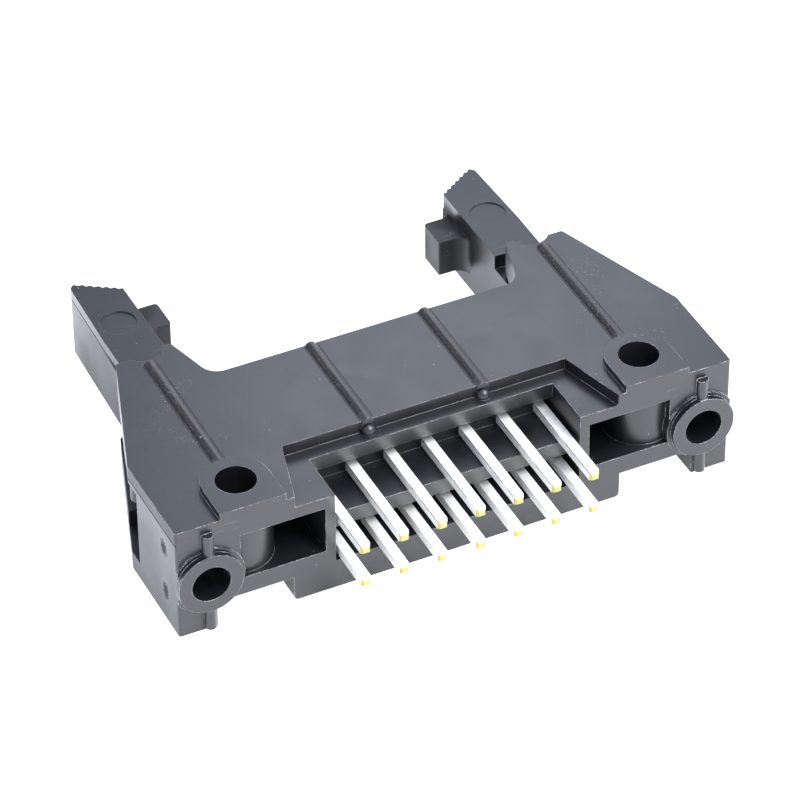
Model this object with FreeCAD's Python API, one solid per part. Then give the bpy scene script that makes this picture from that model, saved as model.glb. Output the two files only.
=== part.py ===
import FreeCAD, Part
import os
from math import sqrt, tan, atan2, cos, sin, pi

V = FreeCAD.Vector

# Shrouded pcb header with two ejector latches, lying on its long side face.
# Millimetres. X runs along the header, Y points from the board side to the mating side, Z is up.
# The origin is on the lower long side, on the line through the two side mounting holes.
# Depths are measured from the board-side face of the housing towards the mating side.

# Contacts
pitch = 2.54                # between neighbours in a row, and between the two rows
contacts_per_row = 7
post = 0.64                 # square wire
tail_length = 2.62          # past the faces of the standoff rings
post_tip = 0.22             # length of the four-sided point at each end
post_tip_flat = 0.42        # width of the flat left at the point
row_height = 2.55           # lower row above the resting side

# Housing, outline seen from above. Its length follows from the contacts and the margins below.
end_block = 8.1             # from the end of the plug cavity to the end face
body_height = 8.0
mating_depth = 12.8         # open edge of the plug cavity
straight_depth = 7.0        # end faces run straight this far and then taper
tower_taper = 3.2           # outer corner of a tower, inwards from the end face
tower_rise = 3.45           # outer corners of the towers past the open edge
finger_rise = 3.9           # inner fingers of the towers past the open edge
finger_beside = 1.1         # tip of a finger beyond the end of the plug cavity
finger_foot_beside = 0.05   # foot of a finger at the open edge, likewise
finger_root_radius = 1.2
finger_tip_radius = 0.25
lead_in_radius = 1.25       # round notch where a trunnion enters
lead_in_inset = 0.15        # its middle inwards from the pivot
lead_in_rise = 0.75         # its middle past the end of the tower
corner_radius = 0.15
kink_radius = 0.3
tower_corner_radius = 0.2
plate = 1.3                 # the two plates of a tower beside the pivot

# Plug cavity
cavity_floor = 6.0
cavity_margin = 2.78        # from the last contacts to the ends of the cavity
cavity_height = 6.2
end_wall = 0.6
key_slot_width = 4.5
key_slot_floor = 7.4        # depth where the polarising slot starts
post_tip_setback = 1.0      # contact ends below the open edge

# Board side: recess, notch with the two rows of tails, ledge between the rows
recess_depth = 4.62
recess_drop = 0.8
recess_far_margin = 1.88    # beyond the last contacts
recess_near_margin = 3.16
notch_margin = 0.56
notch_lip_depth = 3.66
notch_lip = 1.03
notch_back = 4.5
notch_floor = 2.1
ledge_near = 1.15
ledge_low = 3.65
ledge_thickness = 1.05

# Side pockets beside the notch
pocket_wall = 0.65          # between the notch and a pocket
pocket_length = 5.52
pocket_back = 4.4
pocket_low = 3.06
pocket_high = 6.37

# Relief under each end
relief_beside = 0.57        # beyond the end of the plug cavity
relief_length = 5.03
relief_back = 6.3
relief_height = 1.79
foot_edge_radius = 0.3

# Side mounting holes with raised pads
side_hole_beside = 3.05     # beyond the end of the plug cavity, the pivots are on the same line
side_hole = 2.54
hole_setback = 2.5          # behind the board-side face, the origin is on this line
pad_width = 4.3
pad_raise = 0.45

# Board mounting holes with standoff rings
board_hole_edge = 2.0       # from the end face
board_hole = 2.5
board_hole_height = 3.8
ring = 4.2
standoff = 0.5
ring_root = 4.7
ring_root_raise = 0.12
crush_rib = 0.74
crush_rib_rise = 0.47       # in front of the board-side face
crush_rib_top = 7.33
crush_rib_low = 0.2

# Raised ridges on the upper side
ridge = 0.8                 # diameter of its round back
ridge_rise = 0.22
ridge_inner_spacing = 7.7
ridge_end_bead = 1.0
ridge_end_gap = 0.85        # outer ridges end this far short of the tower's end

# Latch bay and what is in it
bay_front = 5.8
stop_post = 1.1
stop_post_edge = 1.3        # from the end face
stop_post_depth = 8.6
stop_post_length = 3.1

# Latch and its pivot
pivot_depth = 7.9
trunnion = 1.4
trunnion_clearance = 0.05   # radial
seat_depth = 0.5            # of the trunnion seats in the plates
seat_groove = 0.25          # depth of the way in to the seats
latch_play = 0.2            # between the latch and each plate
end_play = 0.1              # between a trunnion end and its seat
latch_inward = 2.25         # inner side of the arm, inwards from the pivot
latch_width = 3.3
latch_tip_taper = 0.3
latch_tip = 26.65           # depth of the outer corner of the slanted end
latch_tip_low = 24.95       # depth of its inner corner
teeth = 6
tooth_height = 0.14
shoulder = 17.5             # depth where the arm gets thinner
tongue = 3.0                # height of the thin part between the plates
tongue_inset = 0.1          # on the outer side
outer_step = 0.1            # the outer side is stepped back above the parting line
parting_height = 5.6
hub = 3.2
hub_boss = 2.6
boss_clearance = 0.1        # radial, on the way in between the thicker plates
hook_reach = 1.85
hook_near = 21.75
hook_far = 24.0
hook_height = 2.6
hook_fillet = 1.0
hook_back_fillet = 0.45
mark = 2.34                 # round ejector mark on the arm
mark_depth = 0.08
mark_from_tip = 4.85
foot_reach = 3.8            # ejecting foot inwards from the pivot
foot_thickness = 0.85
foot_gap = 0.1              # foot below the cavity floor
foot_clearance = 0.3

last_contact = (contacts_per_row - 1) * pitch / 2
cavity_half = last_contact + cavity_margin
half_length = cavity_half + end_block
tower_depth = mating_depth + tower_rise
finger_depth = mating_depth + finger_rise
middle = body_height / 2
upper_row = row_height + pitch
rows_middle = row_height + pitch / 2
side_x = cavity_half + side_hole_beside
board_x = half_length - board_hole_edge
latch_inner = side_x - latch_inward
bay_low = plate
bay_high = body_height - plate
latch_height = body_height - 2 * plate - 2 * latch_play
tower_plate = middle - tongue / 2 - foot_clearance  # the plates are thicker further out
bay_inner = cavity_half + end_wall
notch_half = last_contact + notch_margin
spare = 1.0                 # how far a cut runs past a face


def box(x0, x1, y0, y1, z0, z1):
    return Part.makeBox(x1 - x0, y1 - y0, z1 - z0, V(x0, y0, z0))


def rod(radius, start, end):
    along = end - start
    return Part.makeCylinder(radius, along.Length, start, along)


def mirrored(shape):
    return shape.mirror(V(0, 0, 0), V(1, 0, 0))


def pair(shape):
    return [shape, mirrored(shape)]


def rounded_wire(points):
    # closed outline in the XY plane, each corner given as x, y and radius
    n = len(points)
    starts = []
    ends = []
    middles = []
    for i in range(n):
        x, y, r = points[i]
        here = V(x, y, 0)
        if r <= 0:
            starts.append(here)
            ends.append(here)
            middles.append(None)
            continue
        before = V(points[i - 1][0], points[i - 1][1], 0) - here
        after = V(points[(i + 1) % n][0], points[(i + 1) % n][1], 0) - here
        room = 0.49 * min(before.Length, after.Length)
        a = before.normalize()
        b = after.normalize()
        half = a.getAngle(b) / 2
        reach = min(r / tan(half), room)
        radius = reach * tan(half)
        inward = (a + b).normalize()
        centre = here + inward * (radius / sin(half))
        starts.append(here + a * reach)
        ends.append(here + b * reach)
        middles.append(centre - inward * radius)
    edges = []
    for i in range(n):
        if middles[i] is not None:
            edges.append(Part.Arc(starts[i], middles[i], ends[i]).toShape())
        following = starts[(i + 1) % n]
        if (following - ends[i]).Length > 1e-6:
            edges.append(Part.makeLine(ends[i], following))
    return Part.Wire(edges)


def slab(points, z0, z1):
    face = Part.Face(rounded_wire(points))
    face.translate(V(0, 0, z0))
    return face.extrude(V(0, 0, z1 - z0))


def place(shape):
    moved = shape.copy()
    moved.translate(V(0, -hole_setback, 0))
    return moved


def outline():
    tip = half_length - tower_taper
    finger = cavity_half + finger_beside
    foot = cavity_half + finger_foot_beside
    notch = side_x - lead_in_inset
    right = [
        (half_length, 0, corner_radius),
        (half_length, straight_depth, kink_radius),
        (tip, tower_depth, tower_corner_radius),
        (notch, tower_depth, 0),
        (notch, finger_depth, 0),
        (finger, finger_depth, finger_tip_radius),
        (foot, mating_depth, finger_root_radius),
    ]
    left = [(-x, y, r) for x, y, r in reversed(right)]
    return right + left


def body_blank():
    blank = slab(outline(), 0, body_height)
    x = side_x - lead_in_inset
    y = tower_depth + lead_in_rise
    notch = rod(lead_in_radius, V(x, y, -spare), V(x, y, body_height + spare))
    return blank.cut(pair(notch))


def cavity_tools():
    low = rows_middle - cavity_height / 2
    over = mating_depth + spare
    cavity = box(-cavity_half, cavity_half, cavity_floor, over, low, low + cavity_height)
    key = box(-key_slot_width / 2, key_slot_width / 2, key_slot_floor, over, -spare, low + spare)
    wide = bay_inner + post
    mouth = box(-wide, wide, mating_depth, latch_tip, tower_plate, body_height - tower_plate)
    return [cavity, key, mouth]


def bay_tools():
    tongue_low = tower_plate
    tongue_high = body_height - tower_plate
    narrow_from = pivot_depth + hub_boss / 2 + foot_clearance
    bay = box(bay_inner, half_length + spare, bay_front, narrow_from, bay_low, bay_high)
    outer_bay = box(bay_inner, half_length + spare, pivot_depth, latch_tip,
                    tongue_low, tongue_high)
    boss_reach = hub_boss / 2 + boss_clearance
    boss_way = box(side_x - boss_reach, side_x + boss_reach, bay_front, latch_tip, bay_low, bay_high)
    toe_low = cavity_floor - foot_gap - foot_thickness
    below_floor = sqrt(foot_reach ** 2 + (pivot_depth - toe_low) ** 2 - (pivot_depth - cavity_floor) ** 2)
    toe = side_x - below_floor - foot_clearance
    window_top = pivot_depth + foot_reach
    window = box(cavity_half - post, bay_inner + post, cavity_floor - post, window_top,
                 tongue_low, tongue_high)
    foot_low = toe_low - foot_clearance / 2
    well = box(toe, side_x, foot_low, cavity_floor + post, tongue_low, tongue_high)
    tools = pair(bay) + pair(outer_bay) + pair(boss_way) + pair(window) + pair(well)
    seat_radius = trunnion / 2 + trunnion_clearance
    seat_low = bay_low - seat_depth
    seat_high = bay_high + seat_depth
    seat = rod(seat_radius, V(side_x, pivot_depth, seat_low), V(side_x, pivot_depth, seat_high))
    way_start = pivot_depth + hub_boss / 2 - foot_clearance
    way = box(side_x - seat_radius, side_x + seat_radius, way_start, latch_tip,
              bay_low - seat_groove, bay_high + seat_groove)
    return tools + pair(seat) + pair(way)


def board_side_tools():
    recess_floor = body_height - recess_drop
    near = last_contact + recess_near_margin
    far = last_contact + recess_far_margin
    spread = spare * (near - far) / recess_depth
    recess = slab([(-near - spread, -spare, 0), (near + spread, -spare, 0), (far, recess_depth, 0),
                   (-far, recess_depth, 0)], recess_floor, body_height + spare)
    notch = box(-notch_half, notch_half, -spare, notch_lip_depth, notch_floor, body_height)
    under_lip = box(-notch_half, notch_half, notch_lip_depth - post / 2, notch_back,
                    notch_floor, recess_floor - notch_lip)
    pocket_inner = notch_half + pocket_wall
    pocket = box(pocket_inner, pocket_inner + pocket_length, -spare, pocket_back, pocket_low, pocket_high)
    relief_inner = cavity_half + relief_beside
    relief = box(relief_inner, relief_inner + relief_length, -spare, relief_back, -spare, relief_height)
    return [recess, notch, under_lip] + pair(pocket) + pair(relief)


def post_holes():
    tools = []
    for x in contact_places():
        for z in (row_height, upper_row):
            tools.append(box(x - post / 2, x + post / 2, notch_back - post, cavity_floor + post,
                             z - post / 2, z + post / 2))
    return tools


def contact_places():
    return [i * pitch - last_contact for i in range(contacts_per_row)]


def side_hole_column():
    column = rod(pad_width / 2, V(side_x, hole_setback, relief_height),
                 V(side_x, hole_setback, body_height + pad_raise))
    front = box(side_x - pad_width / 2, side_x + pad_width / 2, 0, hole_setback,
                body_height - recess_drop, body_height + pad_raise)
    return [column, front]


def ridge_bar(x, start, end):
    z = body_height + ridge_rise - ridge / 2
    bar = rod(ridge / 2, V(x, start, z), V(x, end, z))
    return bar.common(box(x - ridge, x + ridge, start, end, body_height - ridge / 4, body_height + ridge))


def ridges():
    far_end = tower_depth - ridge_end_gap
    outer = ridge_bar(side_x, hole_setback, far_end)
    inner_x = ridge_inner_spacing / 2
    inner = ridge_bar(inner_x, recess_depth - ridge / 6, mating_depth - ridge / 40)
    bead_z = body_height - recess_drop
    bead_y = recess_depth - ridge_end_bead / 10
    bead = Part.makeSphere(ridge_end_bead / 2, V(inner_x, bead_y, bead_z + ridge_end_bead / 20))
    return pair(outer) + pair(inner) + pair(bead)


def standoff_parts():
    z = board_hole_height
    raised = rod(ring / 2, V(board_x, -standoff, z), V(board_x, standoff, z))
    root = rod(ring_root / 2, V(board_x, -ring_root_raise, z), V(board_x, standoff, z))
    rib_y = crush_rib / 2 - crush_rib_rise
    upper_rib = rod(crush_rib / 2, V(board_x, rib_y, z), V(board_x, rib_y, crush_rib_top))
    lower_rib = rod(crush_rib / 2, V(board_x, rib_y, crush_rib_low), V(board_x, rib_y, z))
    behind = raised.fuse([root, upper_rib, lower_rib])
    behind = behind.common(box(0, half_length, -standoff - spare, spare, 0, body_height))
    ahead = raised.common(box(0, board_x + ring, -standoff, 0, 0, body_height))
    return behind.fuse(ahead)


def stop_posts():
    x = half_length - stop_post_edge
    top = bay_high + foot_clearance
    stop = rod(stop_post / 2, V(x, stop_post_depth, top - stop_post_length), V(x, stop_post_depth, top))
    return pair(stop)


def hole_tools():
    top = body_height + pad_raise + spare
    side = rod(side_hole / 2, V(side_x, hole_setback, -spare), V(side_x, hole_setback, top))
    z = board_hole_height
    board = rod(board_hole / 2, V(board_x, -standoff - spare, z), V(board_x, bay_front + standoff, z))
    return pair(side) + pair(board)


def housing():
    shape = body_blank()
    shape = shape.cut(cavity_tools() + bay_tools())
    shape = shape.cut(board_side_tools())
    reach = notch_half + pocket_wall / 3
    ledge = box(-reach, reach, ledge_near, notch_back + pocket_wall / 3,
                ledge_low, ledge_low + ledge_thickness)
    added = [ledge] + ridges() + pair(standoff_parts()) + stop_posts()
    for piece in side_hole_column():
        added = added + pair(piece)
    shape = shape.fuse(added)
    shape = shape.cut(hole_tools() + post_holes())
    shape = round_feet(shape.removeSplitter())
    return shape


def round_feet(shape):
    relief_inner = cavity_half + relief_beside
    edges = []
    for edge in shape.Edges:
        a = edge.BoundBox
        if a.ZMax > 0.01 or a.YLength < relief_back - 0.5:
            continue
        if abs(abs(a.XMin) - relief_inner) < 0.01 and a.XLength < 0.01:
            edges.append(edge)
    if len(edges) != 2:
        return shape
    return shape.makeFillet(foot_edge_radius, edges)


def contact(x, z):
    front = -standoff - tail_length
    back = mating_depth - post_tip_setback
    half = post / 2
    flat = post_tip_flat / 2
    sections = []
    for y, h in ((front, flat), (front + post_tip, half), (back - post_tip, half), (back, flat)):
        corners = [V(x - h, y, z - h), V(x + h, y, z - h), V(x + h, y, z + h), V(x - h, y, z + h)]
        sections.append(Part.makePolygon(corners + corners[:1]))
    return Part.makeLoft(sections, True, True)


def slanted_end():
    # peaks and valleys of the finger grip from the outer corner to the inner corner
    outer = latch_inner + latch_width - latch_tip_taper
    start = V(outer - 0.4, latch_tip, 0)
    end = V(latch_inner, latch_tip_low, 0)
    step = (end - start) * (1.0 / teeth)
    inward = V(end.y - start.y, start.x - end.x, 0).normalize() * -1
    if inward.y > 0:
        inward = inward * -1
    points = [(outer, latch_tip - 0.35, 0.2), (start.x + 0.1, start.y, 0.12)]
    for i in range(teeth):
        valley = start + step * (i + 0.55) + inward * tooth_height
        peak = start + step * (i + 1.0)
        points.append((valley.x, valley.y, 0.05))
        points.append((peak.x, peak.y, 0.1))
    return points


def arm():
    outer = latch_inner + latch_width
    points = [(latch_inner, shoulder, 0), (outer, shoulder, 0)] + slanted_end()
    whole = slab(points, middle - latch_height / 2, middle + latch_height / 2)
    stepped = box(outer - outer_step, outer + spare, shoulder - spare, latch_tip, parting_height, body_height)
    return whole.cut(stepped)


def hook():
    reach = latch_inner - hook_reach
    root = latch_inner + 0.6
    points = [
        (reach, hook_near, 0.12),
        (latch_inner, hook_near, hook_fillet),
        (latch_inner, hook_near - hook_fillet * 2.2, 0),
        (root, hook_near - hook_fillet * 2.2, 0),
        (root, hook_far + 1.0, 0),
        (latch_inner, hook_far + 1.0, 0),
        (latch_inner, hook_far, hook_back_fillet),
        (reach, hook_far, 0.25),
    ]
    return slab(points, middle - hook_height / 2, middle + hook_height / 2)


def tongue_and_foot():
    low = middle - tongue / 2
    high = middle + tongue / 2
    inner = latch_inner
    outer = latch_inner + latch_width - tongue_inset
    toe_top = cavity_floor - foot_gap
    toe_low = toe_top - foot_thickness
    toe = side_x - foot_reach
    hub_radius = hub / 2
    points = [
        (inner, shoulder + 0.5, 0),
        (inner, pivot_depth + 1.2, 0.8),
        (side_x - hub_radius, pivot_depth + 0.3, 0.5),
        (toe + foot_reach / 2, toe_top, 0.6),
        (toe, toe_top, 0.25),
        (toe, toe_low, 0.3),
        (side_x - 1.0, toe_low, 0.8),
        (side_x, pivot_depth - hub_radius, 0),
        (side_x + 0.6, pivot_depth, 0),
        (outer, pivot_depth, 0),
        (outer, shoulder + 0.5, 0),
    ]
    shape = slab(points, low, high)
    return shape.fuse(rod(hub_radius, V(side_x, pivot_depth, low), V(side_x, pivot_depth, high)))


def latch():
    shape = arm().fuse([hook(), tongue_and_foot()])
    boss_low = bay_low + latch_play
    boss_high = bay_high - latch_play
    boss = rod(hub_boss / 2, V(side_x, pivot_depth, boss_low), V(side_x, pivot_depth, boss_high))
    pin_low = bay_low - seat_depth + end_play
    pin_high = bay_high + seat_depth - end_play
    pin = rod(trunnion / 2, V(side_x, pivot_depth, pin_low), V(side_x, pivot_depth, pin_high))
    shape = shape.fuse([boss, pin])
    top = middle + latch_height / 2
    centre_x = latch_inner + latch_width / 2
    centre_y = latch_tip - mark_from_tip
    sunk = rod(mark / 2, V(centre_x, centre_y, top - mark_depth), V(centre_x, centre_y, top + 1))
    return shape.cut(sunk).removeSplitter()


def export(shape, name):
    placed = place(shape)
    solids = placed.Solids
    print(name, "solids", len(solids), "valid", placed.isValid(), "volume", round(placed.Volume, 3),
          "box", [round(v, 3) for v in (placed.BoundBox.XMin, placed.BoundBox.XMax, placed.BoundBox.YMin,
                                        placed.BoundBox.YMax, placed.BoundBox.ZMin, placed.BoundBox.ZMax)])
    placed.exportStep("parts/" + name + ".step")


os.makedirs("parts", exist_ok=True)
export(housing(), "housing")
for i, x in enumerate(contact_places()):
    export(contact(x, upper_row), "contact_upper_%d" % (i + 1))
    export(contact(x, row_height), "contact_lower_%d" % (i + 1))
right = latch()
export(right, "latch_right")
export(mirrored(right), "latch_left")
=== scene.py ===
"""Looks of the shrouded pcb header: moulded plastic, plated posts, soft edges and studio light.

Metres, in the row frame: X along the header, Y towards the mating side, Z up. Places of marks on the
pieces are in millimetres, as in the part's source, and helpers turn them into metres.
"""

from math import radians

import bpy
import numpy as np
from mathutils import Matrix, Vector

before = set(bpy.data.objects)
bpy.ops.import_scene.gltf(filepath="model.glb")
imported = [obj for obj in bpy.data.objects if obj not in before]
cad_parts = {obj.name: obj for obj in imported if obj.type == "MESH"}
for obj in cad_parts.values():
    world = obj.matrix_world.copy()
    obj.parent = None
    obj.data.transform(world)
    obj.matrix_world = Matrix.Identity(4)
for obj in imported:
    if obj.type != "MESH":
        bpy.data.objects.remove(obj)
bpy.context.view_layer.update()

MM = 0.001

# Camera fitted to the photograph, whose frame is 800 pixels square
FRAME_PIXELS = 800.0
FOCAL_PIXELS = 4639.0
SHIFT_PIXELS = (-1.0, -4.0)
SENSOR_WIDTH = 36.0                                     # millimetres
CAMERA_PLACE = (-94.794, -193.777, 183.953)             # millimetres
VIEW_AHEAD = (0.33443233, 0.70294903, -0.62770827)
CAMERA_ROLL = -0.550                                    # degrees

# Places on the posts, in millimetres of the row frame
TAIL_FLAT = -5.62           # Y of the flat ends of the tails
CAVITY_FLOOR = 3.5          # Y where the gold begins
UPPER_TOP = 5.41            # Z of the top of the upper row

# Places on the housing, in millimetres: X is counted from the middle to either side
END_FACE = 18.45
PARTING = 7.07              # Z of the parting line on the end faces
GATE_Y = -0.70
GATE_HEIGHTS = (5.62, 2.28)
GATE_RADII = (0.58, 0.82)   # along Y and Z
UPPER_FACE = 8.0
RECESS_FLOOR = 6.9
INNER_RIDGE = 3.85
OUTER_RIDGE = 13.45
RIDGE_HALF = 0.40
OUTER_RIDGE_END = 12.96     # Y
PAD_HALF = 2.3

# Places on the latches, in millimetres, counted in the same way
ARM_OUTER = 14.3
ARM_INNER = 11.15
LATCH_PARTING = 5.76        # Z of the parting line on the outer sides
HOOK_CORNER = (10.9, 21.5, 4.0)
HOOK_CORNER_RADII = (1.7, 2.0, 2.3)

FLOOR_HALF = 2.0            # metres


# Camera

def photo_camera():
    """Camera with the photograph's angle: its axes are the view direction, a level right vector and the
    up vector square to both, turned by a small roll about the view direction."""
    place = np.array(CAMERA_PLACE) * MM
    ahead = np.array(VIEW_AHEAD)
    right = np.cross(ahead, [0.0, 0.0, 1.0])
    right = right / np.linalg.norm(right)
    up = np.cross(right, ahead)
    roll = radians(CAMERA_ROLL)
    side = np.cos(roll) * right + np.sin(roll) * up
    top = -np.sin(roll) * right + np.cos(roll) * up
    turn = Matrix([list(row) for row in np.array([side, top, -ahead]).T]).to_4x4()
    data = bpy.data.cameras.new("photo_camera")
    data.sensor_width = SENSOR_WIDTH
    data.lens = FOCAL_PIXELS / FRAME_PIXELS * SENSOR_WIDTH
    data.shift_x = SHIFT_PIXELS[0] / FRAME_PIXELS
    data.shift_y = SHIFT_PIXELS[1] / FRAME_PIXELS
    data.clip_start = 0.01
    data.clip_end = 20.0
    camera = bpy.data.objects.new("photo_camera", data)
    camera.matrix_world = Matrix.Translation(Vector(place)) @ turn
    bpy.context.scene.collection.objects.link(camera)
    bpy.context.scene.camera = camera


photo_camera()
bpy.context.scene.view_settings.view_transform = "Standard"


# Node helpers

def add(nodes, kind, **values):
    node = nodes.new(kind)
    for key, value in values.items():
        setattr(node, key, value)
    return node


def group(name, inputs, outputs):
    """Empty shader group: inputs and outputs are (socket type, name, default)."""
    made = bpy.data.node_groups.new(name, "ShaderNodeTree")
    for kind, label, value in inputs:
        made.interface.new_socket(label, in_out="INPUT", socket_type=kind).default_value = value
    for kind, label in outputs:
        made.interface.new_socket(label, in_out="OUTPUT", socket_type=kind)
    enter = made.nodes.new("NodeGroupInput")
    leave = made.nodes.new("NodeGroupOutput")
    return made, enter, leave


def maths(nodes, links, operation, a, b=None, clamp=False):
    node = add(nodes, "ShaderNodeMath", operation=operation, use_clamp=clamp)
    for socket, value in ((node.inputs[0], a), (node.inputs[1], b)):
        if value is None:
            continue
        if isinstance(value, (int, float)):
            socket.default_value = value
        else:
            links.new(value, socket)
    return node.outputs[0]


def times(nodes, links, *values):
    made = values[0]
    for value in values[1:]:
        made = maths(nodes, links, "MULTIPLY", made, value)
    return made


def plus(nodes, links, *values):
    """Sum of masks, held at 1."""
    made = values[0]
    for value in values[1:]:
        made = maths(nodes, links, "ADD", made, value, clamp=True)
    return made


def spread(nodes, links, value, low, high, to_low=0.0, to_high=1.0):
    """Smooth step from to_low at value low to to_high at value high."""
    node = add(nodes, "ShaderNodeMapRange", clamp=True, interpolation_type="SMOOTHSTEP")
    links.new(value, node.inputs[0])
    for i, number in enumerate((low, high, to_low, to_high)):
        node.inputs[i + 1].default_value = number
    return node.outputs[0]


def beyond(nodes, links, value, low, high, to_low=0.0, to_high=1.0):
    """Smooth step along a length: value is in metres, low and high are in millimetres."""
    return spread(nodes, links, value, low * MM, high * MM, to_low, to_high)


def near(nodes, links, value, centre, half, soft):
    """1 where value (metres) is within half of centre (millimetres), 0 further off than half and soft."""
    away = maths(nodes, links, "ABSOLUTE", maths(nodes, links, "SUBTRACT", value, centre * MM))
    return beyond(nodes, links, away, half + soft, half)


def away_from(nodes, links, *axes):
    """Distance in radii from a place; axes are (value in metres, centre, radius in millimetres)."""
    total = None
    for value, centre, radius in axes:
        part = maths(nodes, links, "SUBTRACT", value, centre * MM)
        part = maths(nodes, links, "DIVIDE", part, radius * MM)
        square = maths(nodes, links, "MULTIPLY", part, part)
        total = square if total is None else maths(nodes, links, "ADD", total, square)
    return maths(nodes, links, "SQRT", total)


def mix(nodes, links, factor, a, b):
    node = add(nodes, "ShaderNodeMix", data_type="RGBA")
    links.new(factor, node.inputs[0])
    for socket, value in ((node.inputs[6], a), (node.inputs[7], b)):
        if isinstance(value, tuple):
            socket.default_value = value + (1.0,)
        else:
            links.new(value, socket)
    return node.outputs[2]


def noise(nodes, links, where, scale, detail, roughness):
    node = add(nodes, "ShaderNodeTexNoise")
    links.new(where, node.inputs["Vector"])
    if scale is not None:
        node.inputs["Scale"].default_value = scale
    node.inputs["Detail"].default_value = detail
    node.inputs["Roughness"].default_value = roughness
    return node


# Shared effects

def moulded_grain():
    """Fine spark-eroded grain, slow waves of flow, sparse pale specks, and short scratches along X."""
    made, enter, leave = group("moulded_grain", [("NodeSocketFloat", "Grain per metre", 9000.0)],
                               [("NodeSocketFloat", "Height"), ("NodeSocketFloat", "Waves"),
                                ("NodeSocketFloat", "Specks"), ("NodeSocketFloat", "Scratches")])
    n, l = made.nodes, made.links
    where = n.new("ShaderNodeTexCoord").outputs["Object"]
    fine = noise(n, l, where, None, 4.0, 0.6)
    l.new(enter.outputs[0], fine.inputs["Scale"])
    slow = noise(n, l, where, 240.0, 5.0, 0.55)
    slow.inputs["Distortion"].default_value = 0.6
    cells = add(n, "ShaderNodeTexVoronoi", feature="F1")
    l.new(where, cells.inputs["Vector"])
    cells.inputs["Scale"].default_value = 1900.0
    dot = spread(n, l, cells.outputs["Distance"], 0.10, 0.04)
    parts = add(n, "ShaderNodeSeparateColor")
    l.new(cells.outputs["Color"], parts.inputs[0])
    chosen = spread(n, l, parts.outputs[0], 0.90, 0.93)
    stretch = add(n, "ShaderNodeMapping")
    stretch.inputs["Scale"].default_value = (500.0, 9000.0, 9000.0)
    stretch.inputs["Rotation"].default_value = (0.0, 0.0, 0.3)
    l.new(where, stretch.inputs["Vector"])
    lines = noise(n, l, stretch.outputs[0], 1.0, 1.0, 0.4)
    patches = spread(n, l, slow.outputs[0], 0.50, 0.64)
    scratches = times(n, l, spread(n, l, lines.outputs[0], 0.66, 0.74), patches)
    l.new(fine.outputs[0], leave.inputs["Height"])
    l.new(slow.outputs[0], leave.inputs["Waves"])
    l.new(times(n, l, dot, chosen), leave.inputs["Specks"])
    l.new(scratches, leave.inputs["Scratches"])
    return made


def soft_edge():
    """Normal of the surface with its edges rounded, and a broken mask of the places where they turn."""
    made, enter, leave = group("soft_edge", [("NodeSocketFloat", "Radius", 0.08 * MM)],
                               [("NodeSocketVector", "Normal"), ("NodeSocketFloat", "Edge")])
    n, l = made.nodes, made.links
    rounded = add(n, "ShaderNodeBevel", samples=6)
    l.new(enter.outputs[0], rounded.inputs["Radius"])
    plain = n.new("ShaderNodeNewGeometry")
    turn = add(n, "ShaderNodeVectorMath", operation="DOT_PRODUCT")
    l.new(rounded.outputs[0], turn.inputs[0])
    l.new(plain.outputs["Normal"], turn.inputs[1])
    l.new(rounded.outputs[0], leave.inputs["Normal"])
    where = n.new("ShaderNodeTexCoord").outputs["Object"]
    stretches = spread(n, l, noise(n, l, where, 900.0, 3.0, 0.6).outputs[0], 0.38, 0.56)
    crumbs = spread(n, l, noise(n, l, where, 9000.0, 2.0, 0.6).outputs[0], 0.38, 0.56)
    turned = spread(n, l, turn.outputs["Value"], 0.94, 0.80)
    l.new(times(n, l, turned, stretches, crumbs), leave.inputs["Edge"])
    return made


grain = moulded_grain()
edges = soft_edge()


def start_material(name):
    made = bpy.data.materials.new(name)
    made.use_nodes = True
    n, l = made.node_tree.nodes, made.node_tree.links
    n.clear()
    out = n.new("ShaderNodeOutputMaterial")
    shader = n.new("ShaderNodeBsdfPrincipled")
    l.new(shader.outputs[0], out.inputs[0])
    return made, n, l, shader


def placed(nodes, made, value):
    node = add(nodes, "ShaderNodeGroup", node_tree=made)
    node.inputs[0].default_value = value
    return node


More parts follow.
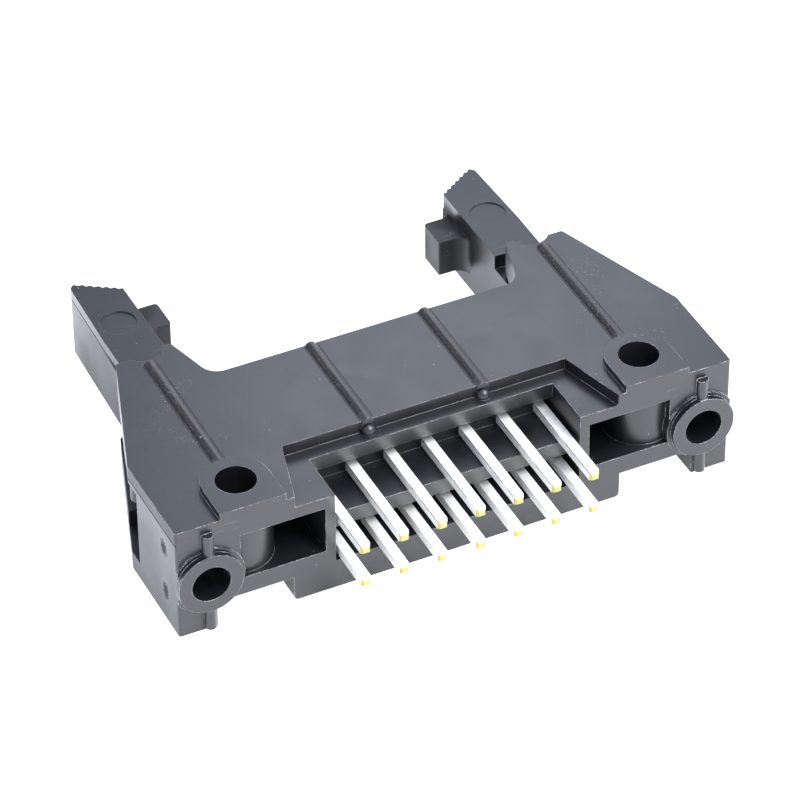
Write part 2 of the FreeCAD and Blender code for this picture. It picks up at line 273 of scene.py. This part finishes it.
def plastic(name, dark, light, worn, ior, details):
    """Blue black glass-filled plastic: two tones in slow waves, paler broken edges, pale specks.
    details(nodes, links, x, y, z, texture) gives masks of dark marks with painted shade, pale marks, dents,
    dull places and places with clean edges."""
    made, n, l, shader = start_material(name)
    split = n.new("ShaderNodeSeparateXYZ")
    l.new(n.new("ShaderNodeTexCoord").outputs["Object"], split.inputs[0])
    x, y, z = split.outputs
    texture = placed(n, grain, 8200.0)
    edge = placed(n, edges, 0.07 * MM)
    waves = spread(n, l, texture.outputs["Waves"], 0.30, 0.72)
    tone = mix(n, l, waves, dark, light)
    frontwards = beyond(n, l, y, 1.6, 0.4, 0.40, 1.0)
    dark_marks_and_shade, pale, dent, dull, clean = details(n, l, x, y, z, texture)
    rubbed = times(n, l, edge.outputs["Edge"], frontwards, maths(n, l, "SUBTRACT", 1.0, clean))
    tone = mix(n, l, rubbed, tone, worn)
    # Dark marks go near black; on the housing this mask also paints shade on the ridge sides that face -X.
    tone = mix(n, l, dark_marks_and_shade, tone, (0.001, 0.001, 0.001))
    tone = mix(n, l, pale, tone, (0.30, 0.31, 0.32))
    tone = mix(n, l, times(n, l, texture.outputs["Specks"], 0.5), tone, (0.30, 0.31, 0.33))
    l.new(tone, shader.inputs["Base Color"])
    rough = spread(n, l, texture.outputs["Waves"], 0.25, 0.75, 0.29, 0.40)
    l.new(plus(n, l, rough, times(n, l, dull, 0.5)), shader.inputs["Roughness"])
    broad = add(n, "ShaderNodeBump")
    broad.inputs["Strength"].default_value = 1.0
    broad.inputs["Distance"].default_value = 0.06 * MM
    flow = times(n, l, texture.outputs["Waves"], 0.3)
    l.new(maths(n, l, "SUBTRACT", flow, dent), broad.inputs["Height"])
    l.new(edge.outputs["Normal"], broad.inputs["Normal"])
    bump = add(n, "ShaderNodeBump")
    bump.inputs["Strength"].default_value = 0.45
    bump.inputs["Distance"].default_value = 0.01 * MM
    l.new(texture.outputs["Height"], bump.inputs["Height"])
    l.new(broad.outputs[0], bump.inputs["Normal"])
    l.new(bump.outputs[0], shader.inputs["Normal"])
    shader.inputs["IOR"].default_value = ior
    return made


def housing_marks(n, l, x, y, z, texture):
    """Parting line and two gate stubs on the end faces, scuffs on the tower tops, scratches in the recess, a
    fine step along the foot of each ridge, and painted shade with pale grain on the ridge sides that face
    -X."""
    away = maths(n, l, "ABSOLUTE", x)
    end_face = beyond(n, l, away, END_FACE - 0.05, END_FACE)
    parting = times(n, l, end_face, near(n, l, z, PARTING, 0.03, 0.07))
    strip = times(n, l, end_face, beyond(n, l, z, PARTING + 0.03, PARTING + 0.13), 0.35)

    left = beyond(n, l, x, 0.05 - END_FACE, -END_FACE)
    ragged = times(n, l, maths(n, l, "SUBTRACT", texture.outputs["Height"], 0.5), 2.2)
    stubs = [away_from(n, l, (y, GATE_Y, GATE_RADII[0]), (z, height, GATE_RADII[1]))
             for height in GATE_HEIGHTS]
    stubs = [maths(n, l, "ADD", far, ragged) for far in stubs]
    hollow = plus(n, l, *[spread(n, l, far, 0.75, 0.45) for far in stubs])
    patch = plus(n, l, *[spread(n, l, far, 1.25, 0.95) for far in stubs])
    pits = times(n, l, hollow, left)
    rims = times(n, l, maths(n, l, "SUBTRACT", patch, hollow, clamp=True), left, 0.10)

    top = beyond(n, l, z, UPPER_FACE - 0.05, UPPER_FACE - 0.02)
    tower = times(n, l, top, beyond(n, l, away, 11.2, 12.2), near(n, l, y, 6.0, 4.0, 2.0))
    flecks = spread(n, l, texture.outputs["Height"], 0.60, 0.68)
    patches = spread(n, l, texture.outputs["Waves"], 0.50, 0.60)
    scuffs = times(n, l, tower, flecks, patches, 0.36)
    recess = times(n, l, near(n, l, z, RECESS_FLOOR, 0.7, 0.2), beyond(n, l, y, 1.2, 0.9))
    scratches = times(n, l, texture.outputs["Scratches"], recess, 0.22)

    lines = [near(n, l, away, ridge + side, 0.02, 0.05)
             for ridge in (INNER_RIDGE, OUTER_RIDGE) for side in (-RIDGE_HALF, RIDGE_HALF)]
    foot = times(n, l, plus(n, l, *lines), top, beyond(n, l, y, 2.2, 2.4),
                 beyond(n, l, y, OUTER_RIDGE_END - 0.01, OUTER_RIDGE_END - 0.11), 0.7)
    ridge_end = times(n, l, near(n, l, y, OUTER_RIDGE_END, 0.03, 0.06),
                      near(n, l, away, OUTER_RIDGE, 0.34, 0.06), top)

    # Painted shade: the ridge sides that face -X, picked by the surface normal, are darkened in the base
    # colour, with pale grain over them.
    lean = n.new("ShaderNodeSeparateXYZ")
    l.new(n.new("ShaderNodeNewGeometry").outputs["Normal"], lean.inputs[0])
    bars = [near(n, l, away, ridge, RIDGE_HALF - 0.04, 0.04) for ridge in (INNER_RIDGE, OUTER_RIDGE)]
    painted_flank_shade = times(n, l, plus(n, l, *bars), near(n, l, z, UPPER_FACE + 0.12, 0.11, 0.02),
                  beyond(n, l, y, 2.6, 2.8), spread(n, l, lean.outputs["X"], 0.00, -0.22))
    grainy = times(n, l, painted_flank_shade, spread(n, l, texture.outputs["Height"], 0.55, 0.66), 0.12)

    # Dark marks are the parting line and the gate pits; the ridge sides facing -X add painted shade.
    dark_marks_and_shade = plus(n, l, times(n, l, parting, 0.85), pits, painted_flank_shade)
    pale = plus(n, l, rims, scuffs, scratches, grainy)
    dent = plus(n, l, parting, pits, foot, ridge_end)
    dull = plus(n, l, dark_marks_and_shade, strip)
    clean = times(n, l, near(n, l, away, OUTER_RIDGE, PAD_HALF, 0.3), beyond(n, l, y, 0.6, 1.4), 0.9)
    return dark_marks_and_shade, pale, dent, dull, clean


def latch_marks(n, l, x, y, z, texture):
    """A few rubbed scratches on the latch arms, the parting line along their outer sides, duller hooks, and
    the unpolished corner between hook and arm."""
    rubbed = times(n, l, texture.outputs["Scratches"], 0.10)
    away = maths(n, l, "ABSOLUTE", x)
    outer = beyond(n, l, away, ARM_OUTER - 0.2, ARM_OUTER)
    parting = times(n, l, near(n, l, z, LATCH_PARTING, 0.025, 0.05), outer, beyond(n, l, y, 7.0, 7.5))
    lower = times(n, l, outer, beyond(n, l, z, LATCH_PARTING + 0.04, LATCH_PARTING - 0.06, 0.08, 0.24))
    hook = times(n, l, beyond(n, l, away, ARM_INNER, ARM_INNER - 0.25), 0.40)
    corner = away_from(n, l, *zip((away, y, z), HOOK_CORNER, HOOK_CORNER_RADII))
    corner = spread(n, l, corner, 1.10, 0.60)
    return parting, rubbed, parting, plus(n, l, parting, lower, hook, corner), 0.0


housing_plastic = plastic("housing_plastic", dark=(0.0034, 0.0037, 0.0048), light=(0.0058, 0.0063, 0.0080),
                          worn=(0.50, 0.505, 0.51), ior=1.52, details=housing_marks)
latch_plastic = plastic("latch_plastic", dark=(0.0028, 0.0031, 0.0041), light=(0.0048, 0.0052, 0.0067),
                        worn=(0.10, 0.10, 0.105), ior=1.47, details=latch_marks)


def plated_post():
    """Square post: bright matt tin on the tails, yellow where the strip was sheared off, gold towards the
    mating end, fine drawing lines along Y, and a dark broken line of painted shade near the top of the -X
    side of the upper row."""
    made, n, l, shader = start_material("plated_post")
    where = n.new("ShaderNodeTexCoord").outputs["Object"]
    parts = n.new("ShaderNodeSeparateXYZ")
    l.new(where, parts.inputs[0])
    along = parts.outputs["Y"]
    stretch = add(n, "ShaderNodeMapping")
    stretch.inputs["Scale"].default_value = (14000.0, 500.0, 14000.0)
    l.new(where, stretch.inputs["Vector"])
    drawn = noise(n, l, stretch.outputs[0], 1.0, 3.0, 0.5)
    stains = noise(n, l, where, 3600.0, 4.0, 0.6)
    tin = mix(n, l, spread(n, l, stains.outputs[0], 0.40, 0.75), (0.97, 0.96, 0.92), (0.82, 0.805, 0.76))
    facing = n.new("ShaderNodeSeparateXYZ")
    l.new(n.new("ShaderNodeNewGeometry").outputs["Normal"], facing.inputs[0])
    below = spread(n, l, facing.outputs["Z"], 0.60, 0.40)
    point = times(n, l, beyond(n, l, along, TAIL_FLAT + 0.24, TAIL_FLAT + 0.20), below)
    gold = beyond(n, l, along, CAVITY_FLOOR - 0.3, CAVITY_FLOOR)
    # Painted shade: a dark broken line near the top of the upper row's faces that point to -X, picked by the
    # surface normal.
    painted_dark_line = times(n, l, near(n, l, parts.outputs["Z"], UPPER_TOP - 0.065, 0.030, 0.015),
                   spread(n, l, facing.outputs["X"], -0.6, -0.8),
                   spread(n, l, noise(n, l, where, 420.0, 2.0, 0.5).outputs[0], 0.40, 0.46))
    tone = mix(n, l, point, tin, (0.34, 0.30, 0.095))
    tone = mix(n, l, gold, tone, (0.90, 0.66, 0.25))
    tone = mix(n, l, painted_dark_line, tone, (0.010, 0.010, 0.010))
    l.new(tone, shader.inputs["Base Color"])
    shader.inputs["Metallic"].default_value = 0.5
    rough = spread(n, l, drawn.outputs[0], 0.3, 0.7, 0.28, 0.36)
    l.new(plus(n, l, rough, times(n, l, point, 0.25)), shader.inputs["Roughness"])
    edge = placed(n, edges, 0.05 * MM)
    bump = add(n, "ShaderNodeBump")
    bump.inputs["Strength"].default_value = 0.35
    bump.inputs["Distance"].default_value = 0.006 * MM
    l.new(drawn.outputs[0], bump.inputs["Height"])
    l.new(edge.outputs["Normal"], bump.inputs["Normal"])
    l.new(bump.outputs[0], shader.inputs["Normal"])
    return made


post_metal = plated_post()


def finish_of(name):
    if name.startswith("contact"):
        return post_metal
    return latch_plastic if name.startswith("latch") else housing_plastic


for name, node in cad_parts.items():
    for place in node.material_slots:
        place.material = finish_of(name)


# Floor and light

def floor():
    """Flat sheet under the part, a single square in the plane Z = 0 that glows a little, most on the left,
    and is seen brighter by the camera."""
    made, n, l, shader = start_material("paper_white")
    paper = add(n, "ShaderNodeTexNoise")
    paper.inputs["Scale"].default_value = 900.0
    l.new(n.new("ShaderNodeTexCoord").outputs["Object"], paper.inputs["Vector"])
    l.new(mix(n, l, paper.outputs[0], (0.93, 0.93, 0.93), (0.96, 0.96, 0.96)), shader.inputs["Base Color"])
    shader.inputs["Roughness"].default_value = 0.9
    across = n.new("ShaderNodeSeparateXYZ")
    l.new(n.new("ShaderNodeTexCoord").outputs["Object"], across.inputs[0])
    lit = beyond(n, l, across.outputs["X"], 12.0, -22.0)
    l.new(mix(n, l, lit, (0.88, 0.88, 0.88), (1.0, 1.0, 1.0)), shader.inputs["Emission Color"])
    shader.inputs["Emission Strength"].default_value = 0.85
    glow = n.new("ShaderNodeEmission")
    glow.inputs[1].default_value = 1.5
    seen = n.new("ShaderNodeLightPath")
    blend = n.new("ShaderNodeMixShader")
    l.new(times(n, l, seen.outputs["Is Camera Ray"], 0.85), blend.inputs[0])
    l.new(shader.outputs[0], blend.inputs[1])
    l.new(glow.outputs[0], blend.inputs[2])
    l.new(blend.outputs[0], n["Material Output"].inputs[0])
    corners = np.array([[-1, -1, 0], [1, -1, 0], [1, 1, 0], [-1, 1, 0]]) * FLOOR_HALF
    mesh = bpy.data.meshes.new("floor_sheet")
    mesh.from_pydata(corners.tolist(), [], [[0, 1, 2, 3]])
    sheet = bpy.data.objects.new("floor_sheet", mesh)
    sheet.data.materials.append(made)
    bpy.context.scene.collection.objects.link(sheet)


def softbox(name, place, size, power, colour=(1.0, 1.0, 1.0)):
    data = bpy.data.lights.new(name, "AREA")
    data.shape = "RECTANGLE"
    data.size, data.size_y = size
    data.energy = power
    data.color = colour
    lamp = bpy.data.objects.new(name, data)
    lamp.location = place
    lamp.rotation_euler = (-Vector(place)).to_track_quat("-Z", "Y").to_euler()
    bpy.context.scene.collection.objects.link(lamp)


def studio():
    """White room: brighter near the horizon, a little blue overhead. One lamp is over the front on the
    right, and one behind is mirrored in the upper faces."""
    world = bpy.data.worlds.new("studio_white")
    world.use_nodes = True
    n, l = world.node_tree.nodes, world.node_tree.links
    split = n.new("ShaderNodeSeparateXYZ")
    l.new(n.new("ShaderNodeTexCoord").outputs["Generated"], split.inputs[0])
    high = spread(n, l, split.outputs["Z"], 0.05, 0.55)
    l.new(mix(n, l, high, (0.91, 0.915, 0.93), (0.52, 0.58, 0.74)), n["Background"].inputs[0])
    n["Background"].inputs[1].default_value = 2.15
    bpy.context.scene.world = world
    softbox("front_lamp", (0.20, -0.24, 0.48), (0.35, 0.35), 6.5)
    softbox("back_lamp", (0.031, 0.061, 0.065), (0.040, 0.040), 0.0135, (0.90, 0.96, 1.0))


floor()
studio()
